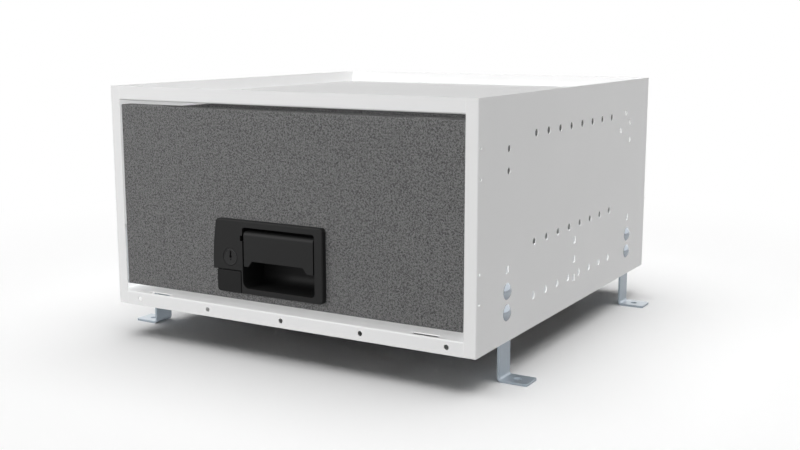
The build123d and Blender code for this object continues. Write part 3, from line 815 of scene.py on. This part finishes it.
@dataclass
class Runners:
    """The ball runners: plated members and the caged ball rows between them."""

    finishes: Finishes
    member_edges: SoftEdges = SoftEdges(0.3)
    ball: float = 5.5
    ball_pitch: float = 11.6
    strip_width: float = 7.4
    strip_thick: float = 1.0
    strip_corner: float = 1.6
    edge_angle: float = 40.0
    corner_steps: int = 4
    ball_columns: int = 14
    ball_rows: int = 9

    def build(self) -> None:
        """Softens the members' edges and fills the cages with balls."""
        for side in Side:
            for part in ("outer", "middle", "inner", "rail"):
                self.member_edges.apply(f"runner_{part}_{side.word}")
            for group in ("outer", "inner"):
                for level in Level:
                    self.ball_row(group, side, level)

    def ball_row(self, group: str, side: Side, level: Level) -> None:
        """Makes one row of balls on its cage strip.

        Args:
            group: Which pair of members the row runs between, outer or inner.
            side: The runner's side of the unit.
            level: Whether the row is the lower or the upper one.
        """
        node = f"ball_cages_{group}"
        low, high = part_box(node)
        radius = millimetres(self.ball / 2)
        pitch = millimetres(self.ball_pitch)
        half_thick = millimetres(self.strip_thick / 2)
        middle_x = side.value * (high.x - millimetres(self.strip_width / 2))
        middle_y = (low.y + high.y) / 2
        middle_z = (low.z + high.z) / 2 + level.value * ((high.z - low.z) / 2 - radius)
        length = high.y - low.y
        outline = self.strip_outline(middle_x, middle_y, length / 2)
        shell = Shell()
        shell.tube(
            [
                shell.ring(Vector((x, y, middle_z + sign * half_thick)) for x, y in outline)
                for sign in (-1, 1)
            ]
        )
        room = length - 2 * millimetres(self.ball)
        count = math.floor(room / pitch) + 1
        start = middle_y - pitch * (count - 1) / 2
        for number in range(count):
            centre = Vector((middle_x, start + pitch * number, middle_z))
            shell.ball(centre, radius, self.ball_columns, self.ball_rows)
        name = f"ball_row_{group}_{side.word}_{level.word}"
        material = self.finishes.by_slot["ball_steel"]
        shell.finished(name, self.edge_angle, material, f"cages_{group}", node)

    def strip_outline(self, middle_x: float, middle_y: float, half_length: float) -> list[Pair]:
        """Draws a cage strip from above, with round corners.

        Args:
            middle_x: The strip's middle.
            middle_y: The strip's middle.
            half_length: Half its length.

        Returns:
            The x and y of its points, in metres and in order.
        """
        corner = millimetres(self.strip_corner)
        half_width = millimetres(self.strip_width / 2)
        quarter = math.pi / 2
        outline = []
        for number, (across, along) in enumerate(((1, 1), (-1, 1), (-1, -1), (1, -1))):
            corner_x = middle_x + across * (half_width - corner)
            corner_y = middle_y + along * (half_length - corner)
            for step in range(self.corner_steps + 1):
                angle = quarter * (number + step / self.corner_steps)
                x = corner_x + corner * math.cos(angle)
                outline.append((x, corner_y + corner * math.sin(angle)))
        return outline


@dataclass
class Drawer:
    """The drawer's sheet work."""

    front_edges: SoftEdges = SoftEdges(0.5, segments=3)
    sheet_edges: SoftEdges = SoftEdges(0.3)

    def build(self) -> None:
        """Softens the edges of the drawer's sheets."""
        self.front_edges.apply("drawer_front")
        self.sheet_edges.apply("drawer_body", "drawer_back", "mechanism_cover")


@dataclass
class Handle:
    """The moulded handle, its latch, its lock and the paddle's spring, in millimetres."""

    finishes: Finishes
    housing_edge: float = 0.3
    cover_edge: float = 0.15
    paddle_edge: float = 0.5
    mould_segments: int = 3
    mould_angle: float = 25.0
    latch_edges: SoftEdges = SoftEdges(0.25)
    cam_edges: SoftEdges = SoftEdges(0.2)
    face_radius: float = 10.25
    face_thick: float = 2.5
    face_edge: float = 0.5
    face_edge_share: float = 0.3
    face_dish: float = 0.6
    dish_radius: float = 8.6
    shaft_radius: float = 7.0
    key_depth: float = 5.0
    key_half_width: float = 1.25
    key_top: float = 7.6
    key_round: float = 2.0
    key_height: float = 0.5
    pin_radius: float = 1.2
    pin_set: float = 0.1
    pin_drop: float = 3.1
    lock_angle: float = 30.0
    lock_columns: int = 144
    pin_columns: int = 24
    pin_rows: int = 12
    wire: float = 1.25
    coil_pitch: float = 2.3
    wire_angle: float = 60.0
    steps_per_turn: int = 28
    wire_sides: int = 10

    def build(self) -> None:
        """Softens the edges of mouldings and latch, turns the lock and winds the spring."""
        widths = {
            "handle_housing": self.housing_edge,
            "handle_lower_cover": self.cover_edge,
            "paddle": self.paddle_edge,
        }
        for name, width in widths.items():
            SoftEdges(width, self.mould_segments, self.mould_angle).apply(name)
        self.latch_edges.apply(
            "paddle_crank", "latch_rocker", "latch_bar", "latch_bracket", "latch_guide"
        )
        self.cam_edges.apply("lock_cam", "latch_keeper")
        self.lock()
        self.spring()

    def keyhole(self, angle: float) -> float:
        """Gives the keyhole its outline: a round part with a slot up from it.

        Args:
            angle: The angle from the right, anticlockwise, in radians.

        Returns:
            The keyhole's reach from the middle of its round part.
        """
        across, up = abs(math.cos(angle)), math.sin(angle)
        if up <= 0:
            return self.key_round
        side = self.key_half_width / max(across, self.key_half_width / self.key_top)
        top = (self.key_top - self.key_height) / up
        return max(self.key_round, min(side, top))

    def lock(self) -> None:
        """Turns the lock's plug: a dished face with a keyhole, and the shaft behind it."""
        low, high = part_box("lock_plug")
        axis = Vector(((low.x + high.x) / 2, low.y, (low.z + high.z) / 2))
        shell = Shell()

        def ring(depth: float, reach: Callable[[float], float], rise: float = 0.0) -> Ring:
            """Adds a ring behind the face at a reach from the axis that the angle sets."""
            return shell.ring(
                axis
                + Vector(
                    (
                        millimetres(reach(angle)) * math.cos(angle),
                        millimetres(depth),
                        millimetres(reach(angle) * math.sin(angle) + rise),
                    )
                )
                for angle in angles_round(self.lock_columns)
            )

        shaft_end = (high.y - low.y) * MILLIMETRES_PER_METRE
        face_round = self.face_edge * self.face_edge_share
        rings = [
            ring(shaft_end, circle(self.shaft_radius)),
            ring(self.face_thick, circle(self.shaft_radius)),
            ring(self.face_thick, circle(self.face_radius)),
            ring(self.face_edge, circle(self.face_radius)),
            ring(face_round, circle(self.face_radius - face_round)),
            ring(0.0, circle(self.face_radius - self.face_edge)),
            ring(0.0, circle(self.dish_radius + self.face_dish)),
            ring(self.face_dish, circle(self.dish_radius)),
            ring(self.face_dish, self.keyhole, self.key_height),
            ring(self.key_depth, self.keyhole, self.key_height),
        ]
        shell.tube(rings)
        material = self.finishes.by_slot["lock_metal"]
        shell.finished("lock_face", self.lock_angle, material, "lock", "lock_plug")
        # A near-black ball just behind the dished face shows as a dark dot: painted shade
        # standing in for a pin hole.
        shade_dot = Shell()
        depth = self.pin_set + self.pin_radius
        place = axis + Vector((0, millimetres(depth), millimetres(-self.pin_drop)))
        shade_dot.ball(place, millimetres(self.pin_radius), self.pin_columns, self.pin_rows)
        dark = self.finishes.keyway
        shade_dot.finished("lock_pin", self.lock_angle, dark, "lock", "lock_plug")

    def spring(self) -> None:
        """Winds the paddle's return spring: open coils with a closed one at each end."""
        low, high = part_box("paddle_spring")
        wire = millimetres(self.wire)
        wire_circle = [
            (wire / 2 * math.sin(angle), wire / 2 * math.cos(angle))
            for angle in angles_round(self.wire_sides)
        ]
        radius = (high.z - low.z - wire) / 2
        start = Vector((low.x + wire / 2, (low.y + high.y) / 2, (low.z + high.z) / 2))
        length = high.x - low.x - wire
        open_turns = round((length - 2 * wire) / millimetres(self.coil_pitch))
        turn_marks = [0.0, 1.0, 1.0 + open_turns, 2.0 + open_turns]
        length_marks = [0.0, wire, length - wire, length]
        sideways = Vector((1, 0, 0))
        shell = Shell()
        rings = []
        for step in range(round(turn_marks[-1] * self.steps_per_turn) + 1):
            turns = step / self.steps_per_turn
            part = sum(turns > mark for mark in turn_marks[1:-1])
            share = (turns - turn_marks[part]) / (turn_marks[part + 1] - turn_marks[part])
            along = length_marks[part] + (length_marks[part + 1] - length_marks[part]) * share
            angle = math.tau * turns
            outward = Vector((0, math.cos(angle), math.sin(angle)))
            middle = start + sideways * along + outward * radius
            rings.append(shell.ring(middle + sideways * x + outward * y for x, y in wire_circle))
        shell.tube(rings)
        material = self.finishes.by_slot["spring_steel"]
        shell.finished(
            "paddle_spring_coil", self.wire_angle, material, "paddle", "paddle_spring"
        )


def direction(azimuth: float, elevation: float) -> Vector:
    """Works out the direction from the unit towards an angle round and above it.

    Args:
        azimuth: Degrees from the front towards the right side.
        elevation: Degrees above the floor.

    Returns:
        The direction, one long.
    """
    turn = math.radians(azimuth)
    rise = math.radians(elevation)
    flat = math.cos(rise)
    return Vector((math.sin(turn) * flat, -math.cos(turn) * flat, math.sin(rise)))


def stand(name: str, data: bpy.types.ID, back: Vector) -> bpy.types.Object:
    """Puts a camera or a lamp in the scene.

    Args:
        name: Its name.
        data: The camera or the light.
        back: The direction that its back faces.

    Returns:
        The new object.
    """
    thing = bpy.data.objects.new(name, data)
    bpy.context.scene.collection.objects.link(thing)
    thing.rotation_mode = "QUATERNION"
    thing.rotation_quaternion = back.to_track_quat("Z", "Y")
    return thing


@dataclass
class Camera:
    """The camera at the photograph's viewing angle, its place in metres."""

    azimuth: float = 30.0
    elevation: float = 10.0
    place: Triple = (0.7697, -1.3336, 0.3973)
    lens: float = 50.0
    sensor: float = 36.0

    def build(self) -> None:
        """Sets the camera."""
        data = bpy.data.cameras.new("camera")
        data.lens = self.lens
        data.sensor_width = self.sensor
        view = stand("camera", data, direction(self.azimuth, self.elevation))
        view.location = self.place
        bpy.context.scene.camera = view


@dataclass
class Surround:
    """A floor that looks pale, keeps the shadow and turns white further out, and the sky.

    Both throw less light back on the unit than they show. Sizes are in metres.
    """

    floor_size: float = 60.0
    floor_tone: float = 0.03
    fade: Pair = (0.45, 1.25)
    sky_strength: float = 0.037
    white: float = 1.0

    def floor(self) -> bpy.types.Object:
        """Lays the floor.

        Returns:
            The floor.
        """
        mesh = bpy.data.meshes.new("floor")
        half = self.floor_size / 2
        corners = [(-half, -half, 0), (half, -half, 0), (half, half, 0), (-half, half, 0)]
        mesh.from_pydata(corners, [], [(0, 1, 2, 3)])
        mesh.materials.append(self.floor_material())
        plane = bpy.data.objects.new("floor", mesh)
        bpy.context.scene.collection.objects.link(plane)
        plane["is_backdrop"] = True
        return plane

    def floor_material(self) -> bpy.types.Material:
        """Builds the floor's material, which shows white where it is lit or far out.

        Returns:
            The material.
        """
        material = bpy.data.materials.new("floor")
        material.use_nodes = True
        tree = Wiring(material.node_tree)
        tree.nodes.clear()
        seen = tree.seen()
        diffuse = tree.nodes.new("ShaderNodeBsdfDiffuse")
        tone = tree.spread(seen, WHOLE, (self.floor_tone, self.white))
        tree.links.new(tone, diffuse.inputs["Color"])
        distance = tree.nodes.new("ShaderNodeVectorMath")
        distance.operation = "LENGTH"
        place = tree.nodes.new("ShaderNodeTexCoord").outputs["Object"]
        tree.links.new(place, distance.inputs[0])
        far = tree.spread(distance.outputs["Value"], self.fade, WHOLE)
        far.node.interpolation_type = "SMOOTHSTEP"
        glow = tree.nodes.new("ShaderNodeEmission")
        mix = tree.nodes.new("ShaderNodeMixShader")
        tree.links.new(tree.combine("MULTIPLY", far, seen), mix.inputs["Fac"])
        tree.links.new(diffuse.outputs["BSDF"], mix.inputs[1])
        tree.links.new(glow.outputs["Emission"], mix.inputs[2])
        output = tree.nodes.new("ShaderNodeOutputMaterial")
        tree.links.new(mix.outputs["Shader"], output.inputs["Surface"])
        return material

    def sky(self) -> None:
        """Sets a white sky that is dimmer as a light than it looks."""
        world = bpy.data.worlds.new("studio")
        bpy.context.scene.world = world
        world.use_nodes = True
        tree = Wiring(world.node_tree)
        background = tree.nodes["Background"]
        background.inputs["Color"].default_value = (self.white, self.white, self.white, 1)
        strength = tree.spread(tree.seen(), WHOLE, (self.sky_strength, self.white))
        tree.links.new(strength, background.inputs["Strength"])


class Lit(Option):
    """What a lamp shines on."""

    UNIT = "all but the floor"
    METAL = "all but the floor and the casing's white sheets"
    SHEET = "all but the floor, the black mouldings and the runner rails"
    RAILS = "the runner rails alone"
    FLOOR = "the floor alone"


@dataclass(frozen=True)
class Lamp:
    """One far lamp.

    Attributes:
        name: Its name.
        strength: Its light on a surface that faces it, in watts per square metre.
        azimuth: Degrees from the front towards the right side.
        elevation: Degrees above the floor.
        spread: How wide it looks, in degrees.
        lit: What it shines on.
        shadow: Whether things block it. A lamp that nothing blocks gives no gloss either.
        diffuse: Whether it lights surfaces, and doesn't give gloss alone.
    """

    name: str
    strength: float
    azimuth: float
    elevation: float
    spread: float
    lit: Lit
    shadow: bool = True
    diffuse: bool = True


@dataclass
class Lights:
    """Soft light all round, and a near key lamp with its place and size in metres."""

    lamps: tuple[Lamp, ...] = (
        Lamp("overhead", 2.85, 0.0, 90.0, 74.0, Lit.FLOOR),
        Lamp("dome", 1.55, 0.0, 90.0, 180.0, Lit.SHEET, shadow=False),
        Lamp("right_fill", 0.92, 70.0, 4.0, 6.0, Lit.SHEET, shadow=False),
        Lamp("front_fill", 0.85, 0.0, 0.8, 0.2, Lit.SHEET, shadow=False),
        Lamp("back_fill", 1.1, 212.0, 0.8, 0.2, Lit.SHEET, shadow=False),
        Lamp("rail_fill", 1.9, 80.0, -4.0, 6.0, Lit.RAILS, shadow=False),
        Lamp("ceiling", 2.3, 0.0, 90.0, 176.0, Lit.METAL, diffuse=False),
    )
    key_place: Triple = (-1.05, -1.95, 1.05)
    key_size: float = 0.5
    key_power: float = 12.5
    mouldings: tuple[str, ...] = ("handle_housing", "handle_lower_cover", "paddle")
    rails: tuple[str, ...] = ("runner_rail_left", "runner_rail_right")
    tray: tuple[str, ...] = ("top_tray",)
    walls: tuple[str, ...] = ("side_panel_left", "side_panel_right", "bottom_pan", "back_panel")

    def groups(self, floor: bpy.types.Object) -> dict[Lit, bpy.types.Collection]:
        """Makes the collections that say what the lamps shine on.

        Args:
            floor: The floor.

        Returns:
            One collection for each choice.
        """
        names = {
            Lit.METAL: self.walls + self.tray,
            Lit.SHEET: self.mouldings + self.rails,
            Lit.RAILS: self.rails,
        }
        groups = {}
        for lit in Lit:
            group = bpy.data.collections.new(f"lit_{lit.word}")
            for name in names.get(lit, ()):
                group.objects.link(frame["nodes"][name])
            if lit is not Lit.RAILS:
                group.objects.link(floor)
            state = "INCLUDE" if lit in (Lit.RAILS, Lit.FLOOR) else "EXCLUDE"
            for row in group.collection_objects:
                row.light_linking.link_state = state
            groups[lit] = group
        return groups

    def shine(self, lamp: Lamp, group: bpy.types.Collection) -> None:
        """Puts one far lamp in the scene.

        Args:
            lamp: The lamp.
            group: The collection that says what it shines on.
        """
        data = bpy.data.lights.new(lamp.name, "SUN")
        data.angle = math.radians(lamp.spread)
        data.energy = lamp.strength
        data.use_shadow = lamp.shadow
        data.cycles.use_multiple_importance_sampling = lamp.shadow
        light = stand(lamp.name, data, direction(lamp.azimuth, lamp.elevation))
        light.visible_glossy = lamp.shadow
        light.visible_diffuse = lamp.diffuse
        light.light_linking.receiver_collection = group

    def key(self, group: bpy.types.Collection) -> None:
        """Shines a near soft light from before the unit's left corner.

        Args:
            group: The collection that says what it shines on.
        """
        data = bpy.data.lights.new("key", "AREA")
        data.size = self.key_size
        data.energy = self.key_power
        light = stand("key", data, Vector(self.key_place))
        light.location = self.key_place
        light.light_linking.receiver_collection = group

    def build(self, floor: bpy.types.Object) -> None:
        """Puts in all the lamps.

        Args:
            floor: The floor.
        """
        groups = self.groups(floor)
        for lamp in self.lamps:
            self.shine(lamp, groups[lamp.lit])
        self.key(groups[Lit.UNIT])


@dataclass
class Studio:
    """The place where the unit stands, and the camera that looks at it."""

    camera: Camera = field(default_factory=Camera)
    surround: Surround = field(default_factory=Surround)
    lights: Lights = field(default_factory=Lights)

    def build(self) -> None:
        """Sets up the whole studio."""
        self.camera.build()
        floor = self.surround.floor()
        self.surround.sky()
        self.lights.build(floor)
        bpy.context.scene.view_settings.view_transform = "Standard"


def main() -> None:
    """Builds the studio and dresses the unit."""
    logging.basicConfig(level=logging.INFO, format="%(message)s")
    Studio().build()
    finishes = Finishes()
    finishes.dress_cad_nodes()
    Casing(finishes).build()
    Runners(finishes).build()
    Drawer().build()
    Handle(finishes).build()
    visual_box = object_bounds()
    [[list(corner) for corner in box] for box in (cad_box, visual_box)]


if __name__ == "__main__":
    main()
